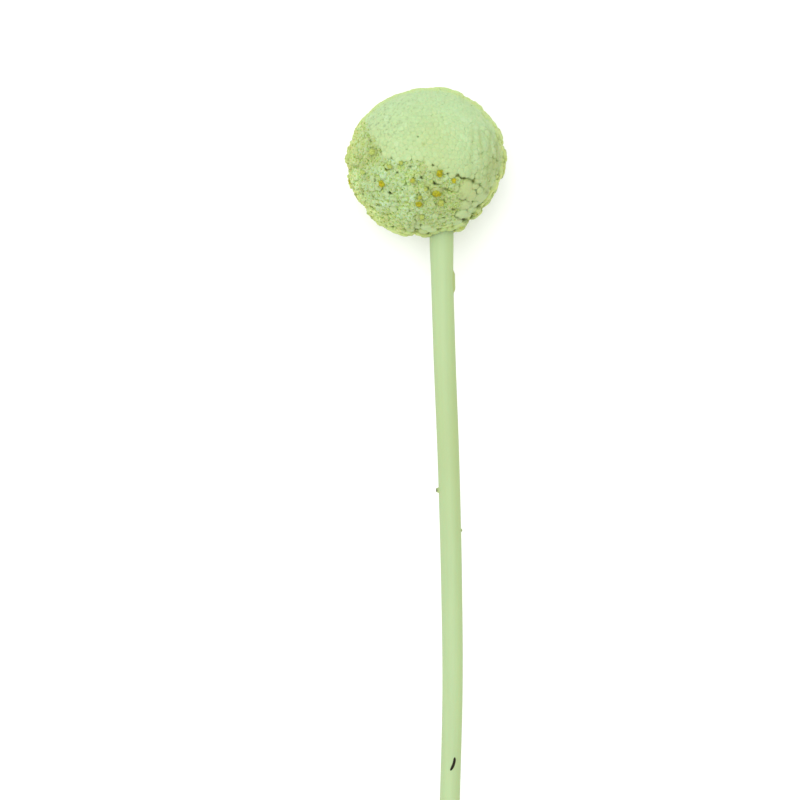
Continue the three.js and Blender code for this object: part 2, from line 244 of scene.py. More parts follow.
class BillyColourSettings(bpy.types.PropertyGroup):
    """Colours of the flower"""
    mint: a_colour("Mint", "Tips of the closed florets", (0.395, 0.54, 0.27))
    straw: a_colour("Straw", "Tips of the florets where the flower has mellowed", (0.37, 0.45, 0.175))
    frost: a_colour("Frost", "Palest lobes of the open florets", (0.45, 0.585, 0.37))
    lime: a_colour("Lime", "Sides of the florets", (0.405, 0.525, 0.15))
    # Rim and lemon are yellower than mint and lighter too: their extra lightness is painted light that makes
    # up for the shade towards the globe's outline.
    rim: a_colour("Rim", "Florets from the waist of the globe down", (0.59, 0.68, 0.185))
    lemon: a_colour("Lemon", "Closed florets just above the waist", (0.47, 0.6, 0.13))
    # Olive also paints shade along the furrows of the flank and round the lumps of the lower right.
    olive: a_colour("Olive", "Stains, specks and dried anthers", (0.225, 0.275, 0.05))
    # Shadow and gap are painted shade: shadow deep between the florets and along the clefts, gap nearly black
    # in the holes.
    shadow: a_colour("Shadow", "Deep between the florets", (0.12, 0.17, 0.03))
    gap: a_colour("Gap", "In the holes between the florets", (0.022, 0.034, 0.005))
    gold: a_colour("Gold", "Fresh anthers", (0.33, 0.325, 0.012))
    orange: a_colour("Orange", "Middles of the fresh anthers", (0.42, 0.30, 0.01))
    stalk: a_colour("Stalk", "Skin of the stalk", (0.352, 0.468, 0.234))
    stalk_side: a_colour("Stalk side", "The stalk's side towards -Y", (0.37, 0.485, 0.15))
    bark: a_colour("Scar", "Bract scars on the stalk", (0.30, 0.36, 0.11))
    crust: a_colour("Crust", "Dead middles of the scars", (0.05, 0.042, 0.02))
    pith: a_colour("Pith", "Middle of the cut", (0.62, 0.62, 0.42))
    wound: a_colour("Wound", "Deepest colour of the wound", (0.003, 0.003, 0.002))
    wound_crust: a_colour("Wound crust", "Palest colour of the wound", (0.03, 0.025, 0.012))


class BillyStageSettings(bpy.types.PropertyGroup):
    """Floor, light and camera"""
    floor: a_colour("Floor", "Colour of the floor", (0.93, 0.93, 0.92))
    sky: FloatProperty(name="Sky", description="Strength of the light from all round", default=0.92, min=0)
    key: FloatProperty(
        name="Key", description="Power of the large soft light", default=5.6, min=0, unit="POWER")
    view_width: a_length("View width", "Width of the view at the globe's middle", 148.15, precision=4)


# ------------------------------------------------------------------ surfaces from numpy

def smooth_step(values, low, high):
    """0 below low, 1 above high, and 3t²-2t³ between."""
    t = np.clip((values - low) / (high - low), 0, 1)
    return t * t * (3 - 2 * t)


def turns(around):
    """Angles spread evenly over a full turn."""
    return np.arange(around) * 2 * math.pi / around


def ripple(directions, seed, crests, waves=24):
    """Smooth unevenness over the globe, spread evenly about 0 with a deviation of 1: a sum of cosine waves
    that cross the globe in random directions, each with about that many radians from side to side."""
    rng = np.random.default_rng(seed)
    across = unit(rng.normal(size=(waves, 3))) * crests * rng.uniform(0.6, 1.4, (waves, 1))
    phases = rng.uniform(0, 2 * math.pi, waves)
    return np.cos(directions @ across.T + phases).sum(-1) * math.sqrt(2 / waves)


def closed_rings(rings, bottom, top):
    """A closed surface through rings of points, each ring counter-clockwise seen from the top, with a fan of
    triangles to a pole at both ends. Returns its points, quads and triangles."""
    count, around = rings.shape[:2]
    points = np.vstack([rings.reshape(-1, 3), bottom, top])
    here = np.arange(around)
    there = (here + 1) % around
    row = np.arange(count - 1)[:, None] * around
    quads = np.stack([row + here, row + there, row + around + there, row + around + here], -1).reshape(-1, 4)
    low_pole = np.full(around, count * around)
    last = (count - 1) * around
    fans = [np.stack([low_pole, there, here], -1), np.stack([last + here, last + there, low_pole + 1], -1)]
    return points, quads, np.vstack(fans)


def repeated(form, tips, axes, forwards, sizes):
    """Many copies of one form. A copy's point is its tip + forward·x·length + side·y·width + axis·z·depth."""
    points, quads, triangles = form
    sides = np.cross(axes, forwards)
    local = points[None] * sizes[:, None]
    placed = tips[:, None] + (
        local[..., 0:1] * forwards[:, None] + local[..., 1:2] * sides[:, None]
        + local[..., 2:3] * axes[:, None])
    first = (np.arange(len(tips)) * len(points))[:, None, None]
    return placed.reshape(-1, 3), (quads + first).reshape(-1, 4), (triangles + first).reshape(-1, 3)


def rest_on_floor(surface):
    """Presses a surface towards the floor where it would reach below it: heights z under h become h·exp(z/h -
    1), so nothing goes through the floor and nothing is pressed into one plane."""
    points, quads, triangles = surface
    soft = 0.25 * MM
    pressed = soft * np.exp(np.minimum(points[:, 2] / soft, 1) - 1)
    points[:, 2] = np.where(points[:, 2] < soft, pressed, points[:, 2])
    return points, quads, triangles


def add_piece(name, surface, finish, stands_for, fields=None):
    """Puts a surface into a smooth mesh with one float attribute a point for each field, and makes it ride on
    the frame in place of the node that it stands for."""
    points, quads, triangles = surface
    mesh = bpy.data.meshes.new(name)
    mesh.vertices.add(len(points))
    mesh.vertices.foreach_set("co", points.astype(np.float32).ravel())
    corners = np.concatenate([quads.ravel(), triangles.ravel()]).astype(np.int32)
    sizes = np.concatenate([np.full(len(quads), 4), np.full(len(triangles), 3)])
    mesh.loops.add(len(corners))
    mesh.loops.foreach_set("vertex_index", corners)
    mesh.polygons.add(len(sizes))
    mesh.polygons.foreach_set("loop_start", (np.cumsum(sizes) - sizes).astype(np.int32))
    mesh.update(calc_edges=True)
    mesh.validate()
    mesh.shade_smooth()
    for field, values in (fields or {}).items():
        attribute = mesh.attributes.new(field, "FLOAT", "POINT")
        attribute.data.foreach_set("value", values.astype(np.float32))
    mesh.materials.append(finish)
    piece = bpy.data.objects.new(name, mesh)
    bpy.context.scene.collection.objects.link(piece)
    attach(piece, "root")
    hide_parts(stands_for)
    return piece


# ------------------------------------------------------------------ the globe's form

def seen_by_eye(places):
    """The directions of places, given as millimetres to the right and up: where the ray from the eye through
    that spot of the level plane first meets the ellipsoid, or comes nearest to it."""
    right, up = np.array(places, float)[:, :2].T * MM
    eye = EYE / GLOBE_RADII
    ray = np.stack([up, -right, 0 * up], -1) / GLOBE_RADII - eye
    square, product = (ray ** 2).sum(1), ray @ eye
    reached = (-product - np.sqrt(np.maximum(product ** 2 - square * (eye @ eye - 1), 0))) / square
    return unit(eye + ray * reached[:, None])


def distances(directions, others):
    """Straight distances on the globe from each direction to each of the others: radius·√(2 - 2·product)."""
    return RADIUS * np.sqrt(np.maximum(2 - 2 * directions @ others.T, 0))


def lobe(directions, middle, reach):
    """A soft spot round a middle: the bell curve of the angle to it, with its reach in degrees."""
    angle = np.degrees(np.arccos(np.clip(directions @ unit(np.array(middle)), -1, 1)))
    return np.exp(-(angle / reach) ** 2)


def lobes(directions, spots):
    """A sum of soft spots, each times its height."""
    return sum(height * lobe(directions, middle, reach) for middle, reach, height in spots)


def swell(directions):
    """How far the globe stands out over its ellipsoid: a sum of lobes, and down its sides a sum of bell
    curves of the angle round the vertical."""
    angle = np.degrees(np.arctan2(directions[:, 0], -directions[:, 1]))[:, None]
    middle, reach, height = np.array(SCALLOPS).T
    away = (angle - middle + 180) % 360 - 180
    side = 1 - smooth_step(np.abs(directions[:, 2]), 0.25, 0.75)
    return (lobes(directions, SWELLS) + side * (np.exp(-(away / reach) ** 2) @ height)) * MM


def ripeness(directions):
    """0 where every floret is closed, 1 where most have opened, with an uneven border."""
    border = lobes(directions, BORDER_SPOTS)
    return smooth_step(directions @ RIPE - border + 0.02 * ripple(directions, 3, 9), -0.02, 0.07)


def lumpiness(directions):
    """1 in the patch of large smooth florets and round the neck, and 0 away from them."""
    patch = smooth_step(directions @ LUMPY, 0.83, 0.9) * smooth_step(directions @ RIPE, 0.0, 0.06)
    return np.maximum(patch, smooth_step(-directions[:, 0] + 0.03 * ripple(directions, 8, 12), 0.88, 0.92))


def flankness(directions):
    """1 on the flank whose florets stand in rows, and 0 away from it."""
    closed = 1 - smooth_step(directions @ RIPE, -0.02, 0.06)
    off_crown = 1 - smooth_step(directions @ CROWN, 0.8, 0.88)
    return smooth_step(directions @ FLANK, 0.49, 0.57) * closed * off_crown


def mellowness(directions):
    """How far the florets have turned from mint to straw."""
    return np.clip(0.12 * ripeness(directions) + lobes(directions, MELLOWS), 0, 1)


def yellow_and_painted_light(directions):
    """How yellow the florets are painted round the side that the camera faces, and how much lighter, which is
    painted light against the shade towards the globe's outline: under grows smoothly down to the waist of the
    globe, and edge grows evenly as the cosine of the angle to that side falls. Past the waist both fade in
    patches."""
    facing = directions @ EYE_SIDE
    patchy = smooth_step(-facing, -0.02, 0.33) * (
        0.25 + 0.75 * smooth_step(ripple(directions, 15, 5), -0.9, 1.1))
    under = smooth_step(-directions[:, 2], -0.42, 0.0) * (1 - 0.85 * patchy)
    under *= 0.88 + 0.12 * np.clip(ripple(directions, 12, 14), -1.5, 1)
    return under, np.clip((0.62 - facing) / 0.36, 0, 1) * (1 - 0.7 * patchy)


def spiral(pole, first_pitch, last_pitch):
    """Directions spread by the golden angle round a pole, with a spacing that grows evenly with the distance
    down from it: after n of them the share of the globe passed is n·p² / (room - n·p·growth), where room is
    the globe's area in squares of the spacing, p the first pitch and growth the difference of the two."""
    growth = last_pitch - first_pitch
    room = 4 * math.pi * RADIUS ** 2 / math.sin(math.pi / 3)
    count = np.arange(int(room / (first_pitch * last_pitch))) + 0.5
    cosine = 1 - 2 * count * first_pitch ** 2 / (room - count * first_pitch * growth)
    sine = np.sqrt(1 - cosine ** 2)
    across = unit(np.cross(UP, pole))
    along = np.cross(pole, across)
    angle = (count * GOLDEN_ANGLE)[:, None]
    return cosine[:, None] * pole + sine[:, None] * (np.cos(angle) * across + np.sin(angle) * along)


def flank_rows(pitch, step, first=25, last=140):
    """Directions in rows that run down from the crown, between two angles to it in degrees, and the row that
    each is in: meridians a pitch apart at their widest, with a direction every step along them, and every
    second row a third of a step on."""
    across = unit(np.cross(UP, CROWN))
    along = np.cross(CROWN, across)
    rows = 2 * round(math.pi * RADIUS / pitch)
    down = np.arange(math.radians(first), math.radians(last), step / RADIUS)
    row, down = np.meshgrid(np.arange(rows), down)
    down = (down + (row % 2) * step / RADIUS / 3)[..., None]
    angle = (row * 2 * math.pi / rows)[..., None]
    directions = np.cos(down) * CROWN + np.sin(down) * (np.cos(angle) * across + np.sin(angle) * along)
    return directions.reshape(-1, 3), row.ravel()


def settle(directions, rooms, fixed, fixed_rooms, rounds=20):
    """Moves directions apart on the globe. In each round a direction moves away from all that are nearer than
    the sum of the two rooms, by half of what is missing; the fixed ones push and stay where they are."""
    reach = (rooms[:, None] + np.append(rooms, fixed_rooms)[None]) / RADIUS
    for _ in range(rounds):
        everything = np.vstack([directions, fixed])
        between = np.sqrt(np.maximum(2 - 2 * directions @ everything.T, 1e-9))
        push = np.clip(reach / between - 1, 0, 1) * 0.5
        np.fill_diagonal(push, 0)
        directions = unit(directions * (1 + push.sum(1, keepdims=True)) - push @ everything)
    return directions


def spots_along(lines):
    """Directions every tenth of a millimetre along clefts or furrows, and how dark each is."""
    directions, depths = [], []
    for depth, corners in lines:
        corners = np.array(corners)
        lengths = np.append(0, np.cumsum(np.linalg.norm(np.diff(corners, axis=0), axis=1)))
        steps = np.arange(0, lengths[-1], 0.1)
        places = [np.interp(steps, lengths, corners[:, i]) for i in (0, 1)]
        directions.append(seen_by_eye(np.stack(places, -1)))
        depths.append(np.full(len(steps), depth))
    return np.vstack(directions), np.concatenate(depths)


def crack(directions):
    """How dark the painted shade of the nearest cleft or hole makes a point: a hole fully and a cleft by its
    strength, fading out from the hole's edge or from the cleft's, whose width goes by the square of its
    strength."""
    line, depths = spots_along(CLEFTS)
    spots = np.vstack([line, seen_by_eye(HOLES)])
    radii = np.append(CLEFT_WIDTH * depths ** 2, np.array(HOLES)[:, 2] / 2) * MM
    darkness = np.append(CLEFT_DARKNESS * depths, np.ones(len(HOLES)))
    return ((1 - smooth_step(distances(directions, spots) - radii, 0, CRACK_FADE * MM)) * darkness).max(1)


def stain_and_shade(directions):
    """How olive a point is from dried anthers, and from painted shade in a furrow and along the lumps' edges:
    bell curves of the distance to the middles of the stains and to the furrows, which are 1 mm wide."""
    furrows, depths = spots_along(FURROWS)
    widths, amounts = np.array(STAINS_AND_SHADE)[:, 2:].T
    widths, amounts = np.append(widths, np.ones(len(depths))), np.append(amounts, depths)
    away = distances(directions, np.vstack([seen_by_eye(STAINS_AND_SHADE), furrows])) / MM
    return (amounts * np.exp(-(away / widths * 2) ** 2)).max(1)


def bunches(directions, pitch):
    """How far in from the edge of its bunch each direction is, which is half the difference between its
    distances to the two nearest middles of a golden spiral."""
    away = RADIUS * np.arccos(np.clip(directions @ spiral(CROWN, pitch, pitch).T, -1, 1))
    first, second = np.partition(away, 1, axis=1)[:, :2].T
    return (second - first) / 2


def sink(directions, inside):
    """How far the tips lie below the globe's ellipsoid: its swell turned round, and down to the edges of the
    bunches along a quarter circle, deepest on the flank."""
    rise = np.sqrt(1 - (1 - np.clip(inside / (BUNCH_SHOULDER * MM), 0, 1)) ** 2)
    side = smooth_step(-directions[:, 1], 0.3, 0.8) * (0.4 + 0.6 * smooth_step(-directions[:, 2], -0.5, -0.1))
    height = (GROOVE + FLANK_GROOVE * side + RIPE_GROOVE * ripeness(directions) * (1 - side)) * MM
    return height * (1 - rise) - swell(directions)


def on_globe(directions, depth):
    """Points at a depth below the ellipsoid."""
    return GLOBE_MIDDLE + directions * GLOBE_RADII * (1 - depth / RADIUS)[:, None]


def stalk_middle(along):
    """Points of the stalk's middle line at distances from the globe's middle in millimetres. Sideways it is a
    cubic through STALK_LINE with the slopes of its neighbours, and it comes down evenly from the globe's
    middle to the floor with half a sine wave on top."""
    knots, sides = STALK_LINE.T
    slopes = np.gradient(sides, knots)
    i = np.clip(np.searchsorted(knots, along, side="right") - 1, 0, len(knots) - 2)
    span = knots[i + 1] - knots[i]
    t = (along - knots[i]) / span
    side = ((2 * t ** 3 - 3 * t ** 2 + 1) * sides[i] + (t ** 3 - 2 * t ** 2 + t) * span * slopes[i]
            + (3 * t ** 2 - 2 * t ** 3) * sides[i + 1] + (t ** 3 - t ** 2) * span * slopes[i + 1])
    share = along / STALK_FOOT
    foot = STALK_RADII[-1, 1]
    height = GLOBE_MIDDLE[2] / MM * (1 - share) + foot * share + BOW * np.sin(math.pi * share)
    return np.stack([-along, -side, height], -1) * MM


def stalk_radius(along):
    """The stalk's radius in metres: through STALK_RADII, and flared at the neck."""
    flare = NECK_FLARE * smooth_step(-along, -GLOBE_RADII[0] / MM - NECK_REACH, -GLOBE_RADII[0] / MM)
    return (np.interp(along, *STALK_RADII.T) + flare) * MM


# ------------------------------------------------------------------ where the florets stand

def apart(directions, others, limits):
    """Whether each direction is farther from each of the others than that one's limit."""
    return (distances(directions, others) > limits).all(1)


def off_stalk(directions):
    """Whether each direction is clear of the stalk: far enough from the line of the neck, or on the crown's
    half of the globe."""
    neck = stalk_middle(np.array([STALK_TOP, STALK_TOP + 10.0]))
    across = np.cross(on_globe(directions, np.zeros(len(directions))) - neck[0], unit(neck[1] - neck[0]))
    return (np.linalg.norm(across, axis=1) > NECK_ROOM * MM) | (directions[:, 0] > 0)


@functools.lru_cache(maxsize=1)
def florets(crown_pitch, base_pitch, lump_pitch, row_pitch, row_step, bunch_pitch, seed):
    """Where every floret stands and how: a dictionary of arrays with one entry a floret. A golden spiral from
    the crown, rows on the flank and a coarser spiral at the lower right and the neck settle round the golden
    florets and the large ones that are placed one by one, and leave the holes and the clefts open."""
    rng = np.random.default_rng(seed)
    golds, (gold_widths, goldness) = seen_by_eye(GOLD_FLORETS), np.array(GOLD_FLORETS)[:, 2:].T
    lumps, (lump_widths, lump_lengths) = seen_by_eye(LUMPS), np.array(LUMPS)[:, 2:].T
    lump_sizes = np.sqrt(lump_widths * lump_lengths)
    jitter, lump_proud, halo_reach, hidden_golds = 0.08 * MM, 0.3 * MM, 1.5 * MM, 0.04
    rows, row = flank_rows(row_pitch, row_step)
    chosen = (flankness(rows) > 0.5) & apart(rows, lumps, lump_sizes * 0.45 * MM)
    rows, row = rows[chosen], row[chosen]
    large = spiral(CROWN, lump_pitch, lump_pitch)
    large = large[(lumpiness(large) > 0.5) & apart(large, lumps, (lump_sizes * 0.5 + 0.5) * MM)]
    packed = spiral(CROWN, crown_pitch, base_pitch)
    packed = packed[
        (flankness(packed) <= 0.5) & (lumpiness(packed) <= 0.5) & apart(packed, rows, 0.4 * row_pitch)
        & apart(packed, golds, 0.6 * crown_pitch) & apart(packed, lumps, (lump_sizes * 0.45 + 0.2) * MM)]
    directions = np.vstack([packed, large, rows])
    kinds = np.repeat(["crown", "lumps", "flank"], [len(packed), len(large), len(rows)])
    pitch = crown_pitch + (base_pitch - crown_pitch) * (1 - directions @ CROWN) / 2
    pitch[kinds == "lumps"] = lump_pitch
    pitch[kinds == "flank"] = row_pitch

    # Each has a room about itself that the others stay out of.
    directions = unit(directions + rng.normal(size=directions.shape) * jitter / RADIUS)
    clefts, strengths = spots_along(CLEFTS)
    hole_rooms, cleft_rooms = np.array(HOLES)[:, 2] / 2 + 0.15, 0.2 * strengths ** 2
    fixed_rooms = np.concatenate([gold_widths * 0.64, lump_sizes * 0.47, hole_rooms, cleft_rooms]) * MM
    rooms = np.where(kinds == "flank", 0.5 * row_step, 0.53 * pitch)
    fixed = np.vstack([golds, lumps, seen_by_eye(HOLES), clefts])
    directions = np.vstack([settle(directions, rooms, fixed, fixed_rooms), golds, lumps])
    kinds = np.append(kinds, np.repeat(["open", "lumps"], [len(golds), len(lumps)]))
    pitch = np.concatenate([pitch, gold_widths * MM, lump_widths * MM])
    count = len(directions)
    gold, streak, width = np.zeros(count), np.zeros(count), rng.uniform(0.92, 1.25, count)
    stretch = np.where(kinds == "flank", 1.35 * row_step / row_pitch, 1.0)
    gold[kinds == "open"] = goldness
    streak[kinds == "flank"] = rng.normal(size=row.max() + 1)[row]
    width[kinds == "open"] = 1.0
    stretch[-len(lumps):] = lump_lengths / lump_widths
    proud = np.where(np.arange(count) < count - len(lumps), 0, lump_proud)
    keep = off_stalk(directions)
    directions, kinds, pitch, gold, streak, width, stretch, proud = (
        each[keep] for each in (directions, kinds, pitch, gold, streak, width, stretch, proud))
    count = len(directions)

    # Which have opened, and which of those on the underside show gold.
    ripe, in_rows, smooth = ripeness(directions), kinds == "flank", kinds == "lumps"
    under, edge = yellow_and_painted_light(directions)
    kinds[(kinds == "crown") & (ripe > 0.5)] = "buds"
    kinds[(kinds == "buds") & (rng.random(count) < 0.93 * ripe)] = "open"
    opened = kinds == "open"
    hidden = opened & (directions[:, 2] < -0.25) & (rng.random(count) < hidden_golds)
    gold[hidden] = rng.uniform(0.3, 1, hidden.sum())

    # Each has a tint of its own, in clouds and by its row, and is paler next to a golden one.
    halo = np.exp(-(distances(directions, golds) / halo_reach) ** 2) @ goldness
    tint = rng.normal(0, 0.6, count) + 0.3 * ripple(directions, 5, 8) + 0.3 * ripe * ripple(directions, 6, 28)
    grainy = lobe(directions, *GRAINY_SPOT) * (1 - ripe)
    tint += 1.8 * streak - 0.6 * in_rows + 1.6 * np.minimum(halo, 1) * (gold == 0)
    tint += grainy * rng.normal(0, 0.8, count)

    # They lean and stand out unevenly, most of all the open ones.
    rough = np.where(opened, ripe, 0)
    axes = unit(unit(directions / GLOBE_RADII) + rng.normal(size=(count, 3)) * (0.03 + 0.2 * rough)[:, None])
    uneven = 0.03 + 0.12 * grainy + 0.15 * under * ~in_rows + np.where(smooth, 0.1, 0.32 * ripe)
    uneven = rng.uniform(0, 1, count) * uneven * MM
    uneven[gold > 0] = 0
    turned = CROWN + rng.normal(size=(count, 3)) * (0.05 + 0.6 * np.where(smooth, 0.1, ripe))[:, None]
    return {
        "kind": kinds,
        "tips": on_globe(directions, sink(directions, bunches(directions, bunch_pitch)) + uneven - proud),
        "axes": axes,
        "forwards": unit(turned - axes * (turned * axes).sum(1, keepdims=True)),
        "pitch": pitch,
        "stretch": stretch,
        "tint": tint,
        "gold": gold,
        "width": width,
        "mellow": mellowness(directions),
        "under": under,
        "edge": edge,
        "rough": smooth_step(-directions[:, 0], -0.75, -0.4),
        "grainy": grainy,
    }


def chosen_florets(settings, choose):
    """The florets for which choose(all of them) holds."""
    every = florets(settings.crown_pitch, settings.base_pitch, settings.lump_pitch, settings.row_pitch,
                    settings.row_step, settings.bunch_pitch, settings.seed)
    chosen = choose(every)
    return {key: values[chosen] for key, values in every.items()}


def floret_fields(surface, form, some, ends=1.0):
    """Fields of the points of repeated florets: the cleft, which is how many millimetres a point lies below
    the swollen ellipsoid; the crack, the painted shade of clefts and holes, which spares the tops unless it
    is a dark one; the stains, with the painted shade of the furrows; how low on the form the point is, which
    feeds the painted shade in the creases, less so by a factor at its ends than at its sides; and values of
    the florets."""
    local = (surface[0] - GLOBE_MIDDLE) / GLOBE_RADII
    out = np.linalg.norm(local, axis=1)
    at = local / out[:, None]
    count = len(some["gold"])
    aside, down = np.abs(form[0][:, 1]), -form[0][:, 2]
    dark = crack(at)
    # The painted shade of the dark clefts and of the holes is drawn over the tops of the florets too.
    top = 0.8 * smooth_step(dark, 0.55, 0.7) + 0.17 * smooth_step(dark, 0.8, 1.0)
    low = down * (ends + (1 - ends) * np.clip(aside / 0.6, 0, 1))
    fields = {
        "cleft": ((1 - out) * RADIUS + swell(at)) / MM,
        "crack": dark * np.maximum(np.tile(smooth_step(down, 0.0, 0.12), count), top),
        "stain_and_shade": stain_and_shade(at),
        "low": np.tile(low, count),
    }
    for name in ("tint", "mellow", "under", "edge", "rough", "grainy"):
        fields[name] = np.repeat(some[name], len(form[0]))
    return fields


def heaps(some, rng, heap=12, width=0.38, drop=0.22):
    """In place of each floret a heap of its anthers: spread by the golden angle over an uneven oval as wide
    as that share of the floret's pitch, and lower towards its edge by the drop times the square of how far
    out they are. Returns their values, and how far out in its heap each is, from 0 to 1."""
    count = len(some["gold"])
    many = {key: np.repeat(values, heap, axis=0) for key, values in some.items()}
    share = np.tile(np.sqrt((np.arange(heap) + 0.2) / heap), count)
    turn = np.tile(np.arange(heap) * GOLDEN_ANGLE, count)
    turn += np.repeat(rng.uniform(0, 2 * math.pi, count), heap)
    reach = many["pitch"] * width * share * rng.uniform(0.85, 1.15, count * heap)
    slim = np.repeat(rng.uniform(0.75, 1.0, count), heap)
    forward, side = reach * np.cos(turn), reach * slim * np.sin(turn)
    sides = np.cross(many["axes"], many["forwards"])
    below = (drop * share ** 2 + rng.uniform(-0.06, 0.06, count * heap)) * MM
    many["tips"] = (many["tips"] + forward[:, None] * many["forwards"] + side[:, None] * sides
                    - below[:, None] * many["axes"])
    axes = many["axes"] = unit(many["axes"] + rng.normal(0, 0.15, (count * heap, 3)))
    many["forwards"] = unit(many["forwards"] - axes * (many["forwards"] * axes).sum(1, keepdims=True))
    many["width"] = rng.uniform(0.85, 1.3, count * heap)
    many["gold"] = many["gold"] * rng.uniform(0.85, 1.1, count * heap)
    return many, share


# ------------------------------------------------------------------ forms that are repeated

def ring(radii, heights, around):
    """Points round the axis: at each angle a, the radius and height given there."""
    angle = turns(around)
    return np.stack([radii * np.cos(angle), radii * np.sin(angle), heights + 0 * angle], -1)


def bud_form(crease, around=10):
    """A closed floret: rings that narrow from the belly over the top, where five creases run together. Radii
    swell by cos(5a), and the top dips between the lobes. Its neighbours cover it up to 0.7 of its radius."""
    petals = np.cos(5 * turns(around))
    profile = [(1.0, -0.64, 0.0), (0.85, -0.26, 0.3), (0.62, -0.085, 0.8), (0.32, -0.02, 1.0)]
    rings = [ring(r * (1 + crease * share * petals), z - crease * share * 0.4 * (1 - petals), around)
             for r, z, share in profile]
    return closed_rings(np.array(rings), [0, 0, -1.0], [0, 0, -0.02 - 0.5 * crease])


def corolla_form(around=10):
    """An open floret: a tube that flares into five rounded petals, and inside them a throat. The radius runs
    between notch and petal tip, by half of 1 + cos(5a)."""
    petals = 0.5 + 0.5 * np.cos(5 * turns(around))
    rings = np.array([
        ring(0.92 + 0 * petals, -0.62, around),
        ring(0.72 + 0.2 * petals, -0.24 + 0.04 * petals, around),
        ring(0.5 + 0.16 * petals, -0.07 + 0.05 * petals, around),
        ring(0.28 + 0.05 * petals, -0.09, around),
    ])
    return closed_rings(rings, [0, 0, -1.0], [0, 0, -0.26])


def anther_form(around=8):
    """A club of anthers: a pinched foot, a belly and a rounded top."""
    rings = [ring(np.full(around, r), z, around) for r, z in ((0.5, -2.2), (1.0, -0.6), (0.75, 0.15))]
    return closed_rings(np.array(rings), [0, 0, -2.3], [0, 0, 0.45])


def bract_form(around=8):
    """A papery bract standing on its base: flat oval rings whose width follows a rounded tip, bulging
    outwards and leaning in at the top. x is across, y outwards and z up."""
    angle = turns(around)
    rings = []
    for height, half, lean in ((-1.0, 0.75, 0.0), (-0.6, 1.0, 0.22), (-0.25, 0.88, 0.25), (-0.05, 0.5, 0.12)):
        across = half * np.cos(angle)
        out = lean - 0.3 * across ** 2 + 0.055 * np.sin(angle)
        rings.append(np.stack([across, out, height + 0 * angle], -1))
    return closed_rings(np.array(rings), [0, 0, -1.05], [0, 0.05, 0])


# ------------------------------------------------------------------ materials

class Channel:
    """A number that changes over a surface. Arithmetic on it adds Math nodes to its finish."""

    def __init__(self, finish, socket):
        self.finish, self.socket = finish, socket

    def _math(self, operation, a, b):
        return self.finish.node("ShaderNodeMath", {"operation": operation}, {0: a, 1: b})

    def __add__(self, other):
        return self._math("ADD", self, other)

    def __mul__(self, other):
        return self._math("MULTIPLY", self, other)

    def __sub__(self, other):
        return self._math("SUBTRACT", self, other)

    def __rsub__(self, other):
        return self._math("SUBTRACT", other, self)

    __radd__, __rmul__ = __add__, __mul__

    def between(self, low, high):
        """0 at low or below, 1 at high or above."""
        return self.finish.node(
            "ShaderNodeMapRange", {"clamp": True, "interpolation_type": "SMOOTHSTEP"},
            {"Value": self, "From Min": low, "From Max": high})


